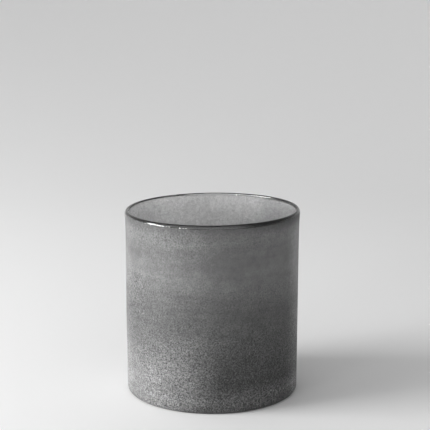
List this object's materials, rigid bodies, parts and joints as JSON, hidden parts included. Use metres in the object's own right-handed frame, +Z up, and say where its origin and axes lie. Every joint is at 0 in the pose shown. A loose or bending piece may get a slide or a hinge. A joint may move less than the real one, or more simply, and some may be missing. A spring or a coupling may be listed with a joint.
{
  "type": "cylinder vase",
  "caption": "Straight-sided cylinder vase in smoke-grey mouth-blown glass, frosted with fused powder outside, with a rounded fire-polished rim and a thick bottom.",
  "frame": {"origin": "on the vase's axis, in the plane that it stands on", "axes": "+Z up along the axis that the vase is turned about, -Y towards the viewer, +X to the viewer's right"},
  "size_m": [0.1512, 0.1512, 0.16],
  "materials": {
    "lip_glass": "dark smoke-grey glass, fire-polished to a full gloss",
    "smoke_glass": "smoke-grey glass, smooth and glossy inside",
    "frosted_glass": "matte fused glass powder, finely speckled and mottled",
    "heel_glass": "thick smoke-grey glass, smooth, ground where it stands"
  },
  "bodies": {
    "root": {"rim_bead": "lip_glass", "glass_wall": "smoke_glass", "frost_skin": "frosted_glass", "heel_ring": "heel_glass", "base_disc": "heel_glass"}
  },
  "joints": []
}
